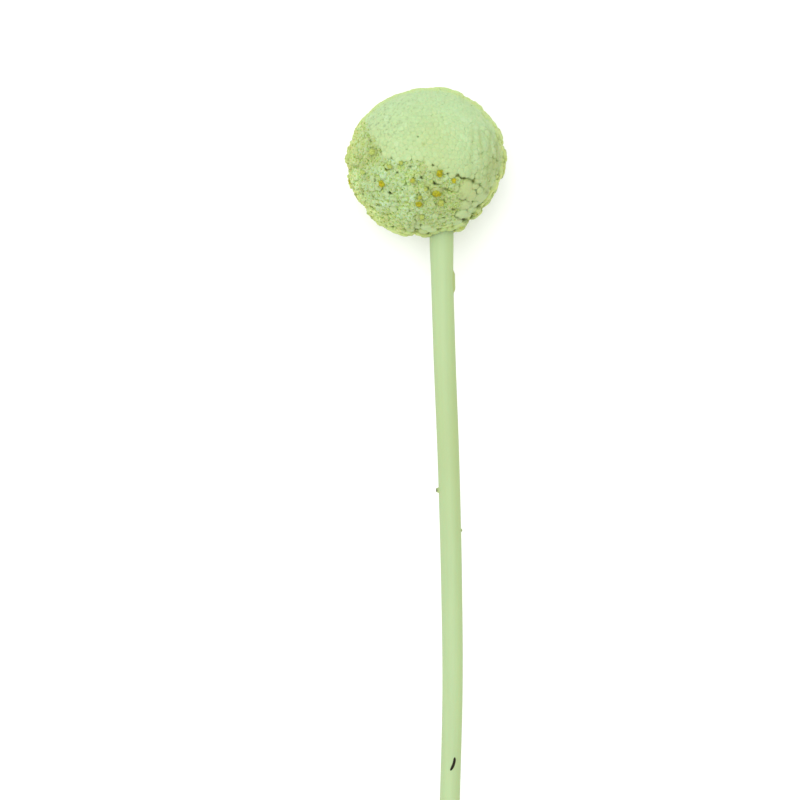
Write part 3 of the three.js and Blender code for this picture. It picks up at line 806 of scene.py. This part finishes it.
class Finish:
    """A material being made: one principled surface and the nodes that feed it."""

    def __init__(self, name, **constants):
        self.material = bpy.data.materials.new(name)
        self.material.use_nodes = True
        self.tree = self.material.node_tree
        self.surface = next(n for n in self.tree.nodes if n.type == "BSDF_PRINCIPLED")
        for socket, value in constants.items():
            self.surface.inputs[socket.replace("_", " ")].default_value = value

    def node(self, kind, settings=None, inputs=None, output=0):
        """Adds a node: its settings first, then a value or a link for each socket. Returns one of its
        outputs."""
        made = self.tree.nodes.new(kind)
        for name, value in (settings or {}).items():
            setattr(made, name, value)
        for socket, value in (inputs or {}).items():
            self.feed(made.inputs[socket], value)
        return Channel(self, made.outputs[output])

    def feed(self, socket, value):
        """Links a channel to a socket, or sets the socket to a number or a colour."""
        if isinstance(value, Channel):
            self.tree.links.new(value.socket, socket)
        elif hasattr(value, "__len__") and socket.type == "RGBA":
            socket.default_value = (*value, 1.0)
        else:
            socket.default_value = value

    def fields(self, *names):
        """Some of the mesh's own attributes."""
        return [self.node("ShaderNodeAttribute", {"attribute_name": name}, output="Fac") for name in names]

    def noise(self, scale, detail=2.0, stretch=(1, 1, 1)):
        """Noise on the object's own coordinates, with scale in features a metre."""
        place = self.node("ShaderNodeTexCoord", output="Object")
        place = self.node("ShaderNodeMapping", {}, {"Vector": place, "Scale": stretch})
        inputs = {"Vector": place, "Scale": scale, "Detail": detail}
        return self.node("ShaderNodeTexNoise", {}, inputs, output="Fac")

    def mix(self, share, a, b):
        """From colour a to colour b by a share."""
        settings = {"data_type": "RGBA", "clamp_factor": True}
        return self.node("ShaderNodeMix", settings, {0: share, 6: a, 7: b}, output=2)

    def coat(self, colour, *layers):
        """A colour with others laid over it in turn, each by its share."""
        for share, layer in layers:
            colour = self.mix(share, colour, layer)
        return colour

    def shade(self, colour, factor):
        """A colour made lighter or darker by a factor."""
        grey = self.node("ShaderNodeCombineXYZ", {}, {0: factor, 1: factor, 2: factor})
        return self.node("ShaderNodeVectorMath", {"operation": "MULTIPLY"}, {0: colour, 1: grey})

    def speckled_rim(self, colours):
        """The colour of the rim's florets: yellow, and lighter as painted light against the shade at the
        globe's sides, with fine olive specks where they are rough, more of them low on a floret and on the
        darker ones."""
        low, tint, rough = self.fields("low", "tint", "rough")
        specks = (self.noise(2600, 3) + low * 0.4 - tint * 0.06).between(0.5, 0.65)
        return self.mix(specks * rough * 0.8, colours.rim, colours.olive)

    def stains_and_painted_shade(self, colour, colours):
        """A colour with the stains and the painted shade of the furrows on it, the clefts drawn in painted
        shadow and the holes in painted shade nearly black.
        """
        crack, stain_and_shade_share = self.fields("crack", "stain_and_shade")
        dark = self.mix(crack.between(0.8, 1.0), colours.shadow, colours.gap)
        return self.coat(colour, (stain_and_shade_share, colours.olive), (crack, dark))

    def done(self, colour, roughness, relief, depth):
        """Gives the surface its colour, its roughness and a relief that is as deep as that many millimetres
        where it is 1, and returns the material."""
        normal = self.node("ShaderNodeBump", {}, {"Height": relief, "Distance": depth * MM, "Strength": 1.0})
        for socket, value in (("Base Color", colour), ("Roughness", roughness), ("Normal", normal)):
            self.feed(self.surface.inputs[socket], value)
        return self.material


def closed_finish(colours):
    """Closed florets: mint to straw on top, lemon and then yellow towards the waist of the globe, lighter
    there as painted light against the shade at the sides, lime down the sides, painted shade low on each
    floret and deep in the gaps, each floret with a tint of its own, over a fine papery grain."""
    finish = Finish("closed florets", Subsurface_Weight=0.15, Subsurface_Scale=0.6 * MM)
    cleft, low, tint, mellow, under, edge, grainy = finish.fields(
        "cleft", "low", "tint", "mellow", "under", "edge", "grainy")
    colour = finish.coat(
        colours.mint,
        (tint.between(0.2, 2.4) * 0.4, colours.frost),
        (mellow, colours.straw),
        # Lemon round the side the camera faces and yellow from the waist down are also lighter: painted light
        # against the shade towards the outline.
        (edge.between(0.55, 0.95) * 0.42, colours.lemon),
        (under * (0.5 + low.between(0.0, 0.3) * 0.35), finish.speckled_rim(colours)),
        (cleft.between(0.1, 0.6) * 0.6, colours.lime))
    # Painted shade low on each floret, in the creases between them, as dark as the kind's crease shade sets.
    colour = finish.shade(colour, 1 - low.between(0.03, 0.4) * 0.5)
    # Painted shadow deep between the florets.
    colour = finish.mix(cleft.between(0.6, 1.2) * 0.8, colour, colours.shadow)
    specks = (finish.noise(1900) + low * 0.3).between(0.52, 0.68)
    colour = finish.stains_and_painted_shade(finish.shade(colour, 1 - specks * grainy * 0.32), colours)
    grain = finish.noise(2600, 3).between(0.3, 0.7)
    colour = finish.shade(colour, 0.955 + tint * 0.025 + grain * 0.09)
    return finish.done(colour, 0.6 + grain * 0.25, grain, 0.03)


def corolla_finish(colours):
    """Open florets: petals from frosty over mint to straw, blotched with olive and yellower towards the waist
    of the globe, and lighter there as painted light against the shade at the sides, lime below them and
    painted shadow deeper down."""
    finish = Finish("open florets", Subsurface_Weight=0.2, Subsurface_Scale=0.6 * MM)
    cleft, tint, mellow, under, edge = finish.fields("cleft", "tint", "mellow", "under", "edge")
    grain = finish.noise(3200, 3).between(0.3, 0.7)
    colour = finish.coat(
        colours.mint,
        (tint.between(0.3, 3.0), colours.frost),
        ((mellow * 0.9 - tint * 0.25).between(0.0, 0.9), colours.straw),
        (finish.noise(1400).between(0.4, 0.65) * 0.2, colours.olive),
        # Rim round the side the camera faces and from the waist down: yellower, and lighter as painted light
        # against the shade towards the outline.
        (edge.between(0.0, 0.7) * 0.33, colours.rim),
        (under * 0.8, finish.speckled_rim(colours)),
        (cleft.between(0.2, 0.6), colours.lime),
        (cleft.between(0.7, 1.3), colours.shadow))
    colour = finish.shade(finish.stains_and_painted_shade(colour, colours), 0.92 + grain * 0.16 + tint * 0.03)
    return finish.done(colour, 0.6 + grain * 0.3, grain, 0.05)


def anther_finish(colours):
    """Anthers: orange in the middle and golden round it where fresh, and olive where they have dried, with
    grains of pollen."""
    finish = Finish("anthers", Specular_IOR_Level=0.2)
    gold, rim = finish.fields("gold", "rim")
    pollen = finish.noise(6500)
    fresh = finish.mix((rim + pollen * 0.5).between(0.3, 0.85), colours.orange, colours.gold)
    fresh = finish.shade(fresh, 1.1 - finish.noise(2600).between(0.45, 0.62) * 0.35)
    dry = finish.mix(pollen.between(0.4, 0.7) * 0.5 * gold.between(0.0, 0.3), colours.lime, colours.olive)
    colour = finish.coat(
        dry,
        ((gold + pollen * 0.2).between(0.2, 0.95), fresh),
        ((rim + pollen * 0.4).between(1.0, 1.3) * 0.7, colours.olive))
    return finish.done(finish.shade(colour, 0.8 + pollen * 0.4), 0.7 + pollen * 0.25, pollen, 0.06)


def core_finish(colours):
    """The receptacle between the florets: olive, felted and uneven, with painted shade nearly black in the
    holes and the clefts.
    """
    finish = Finish("receptacle")
    crack, = finish.fields("crack")
    felt = finish.noise(1800, 4)
    colour = finish.mix(crack, finish.shade(colours.olive, 0.5 + felt * 0.5), colours.gap)
    return finish.done(colour, 0.8 + felt * 0.2, felt, 0.1)


def bract_finish(colours):
    """Papery bracts: yellow to straw, olive at their tips and in shadow at their feet."""
    finish = Finish("bracts", Subsurface_Weight=0.2, Subsurface_Scale=0.6 * MM)
    cleft, tint = finish.fields("cleft", "tint")
    grain = finish.noise(1500, 3, (1, 1, 0.4))
    colour = finish.coat(
        colours.rim,
        (tint.between(-0.8, 0.8), colours.straw),
        (cleft.between(0.4, 0.0) * 0.8, colours.olive),
        (cleft.between(0.5, 1.1), colours.shadow))
    return finish.done(finish.shade(colour, 0.85 + grain * 0.3), 0.55 + grain * 0.2, grain, 0.05)


def stalk_finish(colours):
    """The stalk's skin: smooth and matt, with faint streaks along it, darker scars and a pale pithy cut."""
    finish = Finish("stalk", Subsurface_Weight=0.1, Subsurface_Scale=1.0 * MM)
    scar, crust, cut, dusk, side = finish.fields("scar", "crust", "cut", "dusk", "side")
    streak = finish.noise(900, 3, (0.03, 1, 1))
    colour = finish.coat(
        finish.shade(colours.stalk, 0.86 + streak * 0.18 + finish.noise(60) * 0.1),
        (side.between(0.1, 0.9) * 0.3, colours.stalk_side),
        (scar + dusk * 0.22, colours.bark),
        (crust, colours.crust),
        (cut.between(0.1, 0.4), finish.mix(cut.between(0.55, 0.95), colours.bark, colours.pith)))
    return finish.done(colour, 0.5 + streak * 0.25, streak, 0.03)


def wound_finish(colours):
    """The dark healed wound on the stalk."""
    finish = Finish("wound", Specular_IOR_Level=0.1)
    crust = finish.noise(4000, 3)
    return finish.done(finish.mix(crust, colours.wound, colours.wound_crust), 0.45 + crust * 0.4, crust, 0.04)


def floor_finish(colour):
    """A plain pale floor."""
    finish = Finish("floor", Roughness=0.9)
    finish.feed(finish.surface.inputs["Base Color"], finish.shade(colour, 0.99 + finish.noise(40) * 0.02))
    return finish.material


# ------------------------------------------------------------------ operators

class BILLY_OT_receptacle(bpy.types.Operator):
    """Adds the dark core of the globe that the florets stand in"""
    bl_idname = "billy.receptacle"
    bl_label = "Receptacle"

    def execute(self, context):
        """A globe of rings from pole to pole along X, a floret's length below the tips, which follows the
        bunches."""
        count, around, depth = 98, 160, 1.0 * MM
        down = np.linspace(0, math.pi, count)[1:-1][:, None]
        angle = np.linspace(0, 2 * math.pi, around, endpoint=False)[None]
        directions = np.stack(
            [-np.cos(down) + 0 * angle, np.sin(down) * np.cos(angle), np.sin(down) * np.sin(angle)], -1)
        flat = directions.reshape(-1, 3)
        inside = bunches(flat, context.scene.billy_florets.bunch_pitch)
        lumpy = lumpiness(flat)
        below = (0.33 + 0.4 * ripeness(flat) * (1 - lumpy) + 0.2 * lumpy) * MM + sink(flat, inside)
        points = on_globe(flat, below).reshape(directions.shape)
        poles = on_globe(np.array([[-1.0, 0, 0], [1.0, 0, 0]]), np.full(2, depth))
        surface = rest_on_floor(closed_rings(points, poles[0], poles[1]))
        fields = {"crack": np.append(crack(flat), [0, 0])}
        add_piece("receptacle", surface, core_finish(context.scene.billy_colours), "head", fields)
        return {"FINISHED"}


class BILLY_OT_closed_florets(bpy.types.Operator):
    """Adds the closed florets of the crown, the flank and among the open ones"""
    bl_idname = "billy.closed_florets"
    bl_label = "Closed florets"

    def execute(self, context):
        """Copies of the bud, wider than their spacing so that they cover each other's feet, and drawn out
        along the rows on the flank."""
        finish = closed_finish(context.scene.billy_colours)
        kinds = {  # how plump, deep and creased, and how dark the painted shade low on them is at the sides and the ends
            "crown": (0.72, 0.2, 0.04, 0.26, 1.0),
            "flank": (0.72, 0.8, 0.03, 0.7, 0.3),
            "buds": (0.7, 0.48, 0.1, 0.5, 1.0),
            "lumps": (0.66, 0.6, 0.02, 0.45, 1.0),
        }
        for name, (plump, depth, crease, crease_shade, ends) in kinds.items():
            some = chosen_florets(context.scene.billy_florets, lambda every: every["kind"] == name)
            form = bud_form(crease, 20 if name == "lumps" else 10)
            half = some["pitch"] * plump
            depths = (depth + 0.45 * some["under"]) * MM + 0.25 * half
            sizes = np.stack([half * some["stretch"], half, depths], -1)
            surface = repeated(form, some["tips"], some["axes"], some["forwards"], sizes)
            fields = floret_fields(surface, form, some, ends)
            fields["low"] *= crease_shade
            add_piece("florets_" + name, rest_on_floor(surface), finish, "head", fields)
        return {"FINISHED"}


class BILLY_OT_open_florets(bpy.types.Operator):
    """Adds the open florets with their anthers"""
    bl_idname = "billy.open_florets"
    bl_label = "Open florets"

    def execute(self, context):
        """Copies of the corolla, and in each a small club of anthers, or a heap of them where it is
        golden."""
        settings = context.scene.billy_florets
        colours = context.scene.billy_colours
        some = chosen_florets(settings, lambda every: every["kind"] == "open")
        overlap, tube = 0.74, 1.1 * MM
        half = some["pitch"] * overlap * some["width"]
        sizes = np.stack([half, half, np.full(len(half), tube)], -1)
        form = corolla_form()
        surface = repeated(form, some["tips"], some["axes"], some["forwards"], sizes)
        fields = floret_fields(surface, form, some)
        add_piece("florets_open", rest_on_floor(surface), corolla_finish(colours), "head", fields)

        finish = anther_finish(colours)
        rng = np.random.default_rng(settings.seed + 2)
        form = anther_form()
        rim = np.linalg.norm(form[0][:, :2], axis=1)
        kinds = {  # which florets, a club's half width by theirs, its length, how proud, and its rim's share
            "anthers": (lambda every: (every["kind"] == "open") & (every["gold"] == 0), 0.13, 0.9, 0.0, 1.0),
            "anthers_gold": (lambda every: every["gold"] > 0, 0.22, 1.4, 0.36, 0.4),
        }
        for name, (choose, share, length, proud, rimmed) in kinds.items():
            some, heaped = chosen_florets(settings, choose), 0.0
            if name == "anthers_gold":
                some, heaped = heaps(some, rng)
            count = len(some["gold"])
            gold = np.where(some["gold"] > 0, some["gold"], rng.random(count) ** 4 * 0.25)
            sizes = (some["pitch"] * share * some["width"])[:, None] * np.array([1, 0.9, length])
            tips = some["tips"] + some["axes"] * proud * MM
            surface = repeated(form, tips, some["axes"], some["forwards"], sizes)
            out = np.repeat(heaped + np.zeros(count), len(rim)) * 0.65
            fields = {"gold": np.repeat(gold, len(rim)), "rim": np.tile(rim * rimmed, count) + out}
            add_piece(name, rest_on_floor(surface), finish, "head", fields)
        return {"FINISHED"}


class BILLY_OT_bracts(bpy.types.Operator):
    """Adds the papery bracts round the bunches of the lower side"""
    bl_idname = "billy.bracts"
    bl_label = "Bracts"

    def execute(self, context):
        """At each large floret of the lower side two bracts on the side that faces the neck, standing with
        their backs outwards; and the flap, a large one that sticks out at the lower right."""
        settings = context.scene.billy_florets
        rng = np.random.default_rng(settings.seed + 1)
        highest, widest, stalk_room = -9 * MM, 1.8 * MM, 2.7 * MM
        some = chosen_florets(
            settings, lambda every: (every["kind"] == "lumps") & (every["tips"][:, 0] < highest))
        normals = np.repeat(some["axes"], 2, axis=0)
        neck = np.array([-1.0, -0.2, 0.0])
        towards = unit(neck - normals * (normals @ neck)[:, None])
        turn = (np.tile([-0.5, 0.5], len(some["axes"])) + rng.normal(0, 0.15, len(normals)))[:, None]
        out = np.cos(turn) * towards + np.sin(turn) * np.cross(normals, towards)
        size = np.repeat(np.minimum(some["pitch"], widest), 2)
        tips = np.repeat(some["tips"], 2, axis=0) + out * size[:, None] * 0.55
        tips -= normals * rng.uniform(0.35, 0.55, (len(size), 1)) * MM
        axes = unit(normals + out * 0.35)
        sizes = np.stack([size * 0.45, size * 0 + 0.7 * MM, size * 0 + 1.2 * MM], -1)
        tips = np.vstack([tips, on_globe(seen_by_eye([FLAP_PLACE]), np.array([FLAP_DEPTH * MM]))])
        axes = np.vstack([axes, unit(np.array([FLAP_AXIS]))])
        out = np.vstack([out, FLAP_BACK])
        sizes = np.vstack([sizes, np.array([FLAP_SIZE]) * MM])
        form = bract_form()
        beside = (tips - stalk_middle(GLOBE_RADII[:1] / MM))[:, 1:]
        keep = np.linalg.norm(beside, axis=1) > stalk_room
        surface = repeated(form, tips[keep], axes[keep], unit(np.cross(out, axes))[keep], sizes[keep])
        fields = {
            "cleft": np.tile(np.maximum(0, -form[0][:, 2]) * 1.3, keep.sum()),
            "tint": np.repeat(rng.normal(0, 0.6, keep.sum()), len(form[0])),
        }
        finish = bract_finish(context.scene.billy_colours)
        add_piece("bracts", rest_on_floor(surface), finish, "head", fields)
        return {"FINISHED"}


class BILLY_OT_stalk(bpy.types.Operator):
    """Adds the stalk with its scars and its wound"""
    bl_idname = "billy.stalk"
    bl_label = "Stalk"

    def execute(self, context):
        """Rings round the stalk's middle line, with a pad raised at each scar and the last rings on the
        slanted cut; and a thin curved crust for the wound."""
        colours = context.scene.billy_colours
        count, count_at_scar, around, dome = 380, 25, 72, 0.3
        near_scars = [at + np.linspace(-1, 1, count_at_scar) * length for at, _, length, *_ in SCARS]
        along = np.unique(np.concatenate([np.linspace(STALK_TOP, STALK_FOOT, count), *near_scars]))
        angle = turns(around)
        middle = stalk_middle(along)
        ahead = unit(np.gradient(middle, axis=0))
        level = unit(np.cross(UP, ahead))
        up = np.cross(ahead, level)
        radius, scarred, crusted = self.skin(along, angle)
        out = np.cos(angle)[None, :, None] * level[:, None] + np.sin(angle)[None, :, None] * up[:, None]
        rings = middle[:, None] + radius[..., None] * out

        # The cut: rings drawn in on the last one, sheared so that the -Y side is longer.
        foot = stalk_middle(np.array([STALK_FOOT]))[0]
        last = rings[-1] - foot
        cut = foot + CUT_SHARES[:, None, None] * last - (CUT_DEPTHS * MM)[:, None, None] * ahead[-1]
        rings = np.concatenate([rings[:-1], cut])
        slant = math.tan(CUT_SLANT) * ((rings - foot) @ level[-1])
        near = smooth_step(-rings[..., 0] / MM, STALK_FOOT - CUT_FROM, STALK_FOOT - CUT_TO)
        rings = rings + (slant * near)[..., None] * ahead[-1]

        top = stalk_middle(np.array([STALK_TOP - dome]))[0]
        surface = closed_rings(rings, top, foot - CUT_DEPTHS[-1] * MM * ahead[-1])
        wood = np.zeros(rings.shape[:2])
        wood[1 - len(CUT_SHARES):] = 0.35 + 0.65 * (1 - CUT_SHARES[1:, None])
        bare = np.zeros((len(CUT_SHARES), around))
        fields = {
            "scar": np.vstack([scarred[:-1], bare]),
            "crust": np.vstack([crusted[:-1], bare]),
            "cut": wood,
            "dusk": np.exp(-((-rings[..., 0] / MM - DUSK_AT) / DUSK_REACH) ** 2),
            "side": np.cos(angle) + 0 * wood,
        }
        poles = {name: [0, 1 if name == "cut" else 0] for name in fields}
        fields = {name: np.append(values.ravel(), poles[name]) for name, values in fields.items()}
        add_piece("stalk", rest_on_floor(surface), stalk_finish(colours), "stem", fields)
        self.add_wound(colours)
        return {"FINISHED"}

    def skin(self, along, angle):
        """The radius at each place along the stalk and angle round it, with faint ribs, a slow unevenness and
        a rounded pad at each scar, and how scarred and how crusted it is there. A scar is darkest round its
        edge, where 4·pad·(1 - pad) is 1."""
        along = along[:, None]
        radius = stalk_radius(along) + 0 * angle
        warp = WARP_HEIGHT * np.sin(2 * angle + along / WARP_LENGTH)
        radius = radius * (1 + RIB_HEIGHT * np.cos(RIBS * angle) + warp)
        scarred, crusted = np.zeros_like(radius), np.zeros_like(radius)
        for at, degrees, length, width, proud, dark in SCARS:
            aside = (angle - math.radians(degrees) + math.pi) % (2 * math.pi) - math.pi
            x = (along - at) / (length / 2)
            y = aside * radius / (width / 2 * MM)
            pad = smooth_step(1.35 - np.maximum(np.abs(x), np.sqrt(0.35 * x * x + y * y)), 0, 0.6)
            radius = radius + pad * proud * MM
            scarred = np.maximum(scarred, 4 * pad * (1 - pad) * 0.6 + 0.35 * pad)
            crusted = np.maximum(crusted, dark * smooth_step(1.1 - np.sqrt(x * x + y * y), 0, 0.4))
        return radius, scarred, crusted

    def add_wound(self, colours):
        """A crescent on the stalk's upper skin: flattened rings along a curved line that taper to both
        ends."""
        t = np.linspace(-1, 1, 25)
        along = WOUND_AT + WOUND_LENGTH * t
        middle = stalk_middle(along)
        radius = stalk_radius(along)
        aside, slope, bend = WOUND_LINE
        turn = math.pi / 2 - (aside + slope * t + bend * t * t) * MM / radius
        out = np.stack([0 * turn, -np.cos(turn), np.sin(turn)], -1)
        line = middle + (radius - 0.02 * MM)[:, None] * out
        ahead = unit(np.gradient(line, axis=0))
        side = np.cross(ahead, out)
        half = WOUND_WIDTH * MM * np.sqrt(np.maximum(1 - t ** 4, 0.02))[:, None, None]
        angle = turns(10)[None, :, None]
        rings = line[:, None] + half * (
            np.cos(angle) * side[:, None] + WOUND_FLAT * np.sin(angle) * out[:, None])
        tip = 0.03 * MM
        points, quads, triangles = closed_rings(rings, line[0] - tip * ahead[0], line[-1] + tip * ahead[-1])
        surface = points, quads[:, ::-1], triangles[:, ::-1]
        add_piece("stalk_wound", surface, wound_finish(colours), "stem")


class BILLY_OT_stage(bpy.types.Operator):
    """Adds the floor, the soft lights and the camera that looks down on the flower"""
    bl_idname = "billy.stage"
    bl_label = "Stage"

    def execute(self, context):
        scene = context.scene
        stage = scene.billy_stage
        bpy.ops.mesh.primitive_plane_add(size=FLOOR_SIZE, location=(0, 0, 0))
        floor = context.object
        floor.name = "floor"
        floor.data.materials.append(floor_finish(stage.floor))

        scene.world = scene.world or bpy.data.worlds.new("sky")
        scene.world.use_nodes = True
        sky = scene.world.node_tree.nodes["Background"]
        sky.inputs["Color"].default_value = (1, 1, 1, 1)
        sky.inputs["Strength"].default_value = stage.sky
        scene.view_settings.view_transform = "Standard"

        light = bpy.data.lights.new("key", "AREA")
        light.size = KEY_SIZE
        light.energy = stage.key
        key = bpy.data.objects.new("key", light)
        scene.collection.objects.link(key)
        key.location = KEY_PLACE
        key.rotation_mode = "QUATERNION"
        key.rotation_quaternion = (KEY_AIM - KEY_PLACE).to_track_quat("-Z", "Y")

        camera = bpy.data.objects.new("camera", bpy.data.cameras.new("camera"))
        scene.collection.objects.link(camera)
        camera.data.lens = EYE[2] / stage.view_width * camera.data.sensor_width
        right, up, back = Vector((0, -1, 0)), Vector((1, 0, 0)), Vector((0, 0, 1))
        turned = Matrix((right, up, back)).transposed().to_4x4()
        turned.translation = Vector(GLOBE_MIDDLE + EYE)
        camera.matrix_world = turned
        camera.data.clip_start = 0.01
        scene.camera = camera
        return {"FINISHED"}


class BILLY_PT_panel(bpy.types.Panel):
    """Lists the flower's pieces in the sidebar"""
    bl_label = "Billy Button"
    bl_idname = "BILLY_PT_panel"
    bl_space_type = "VIEW_3D"
    bl_region_type = "UI"
    bl_category = "Billy Button"

    def draw(self, context):
        column = self.layout.column()
        for operator in OPERATORS:
            column.operator(operator.bl_idname)
        for group in SETTINGS:
            settings = getattr(context.scene, group)
            for name in settings.__annotations__:
                column.prop(settings, name)


SETTINGS = {
    "billy_florets": BillyFloretSettings,
    "billy_colours": BillyColourSettings,
    "billy_stage": BillyStageSettings,
}
OPERATORS = (
    BILLY_OT_receptacle, BILLY_OT_closed_florets, BILLY_OT_open_florets, BILLY_OT_bracts, BILLY_OT_stalk,
    BILLY_OT_stage,
)
CLASSES = (*SETTINGS.values(), *OPERATORS, BILLY_PT_panel)


def register():
    """Registers the classes and gives the scene its settings."""
    for each in CLASSES:
        bpy.utils.register_class(each)
    for name, group in SETTINGS.items():
        setattr(bpy.types.Scene, name, PointerProperty(type=group))


def unregister():
    """Takes away what register adds."""
    for name in SETTINGS:
        delattr(bpy.types.Scene, name)
    for each in reversed(CLASSES):
        bpy.utils.unregister_class(each)


def main():
    """Builds the flower and its stage."""
    register()
    for operator in OPERATORS:
        group, name = operator.bl_idname.split(".")
        getattr(getattr(bpy.ops, group), name)()


if __name__ == "__main__":
    main()
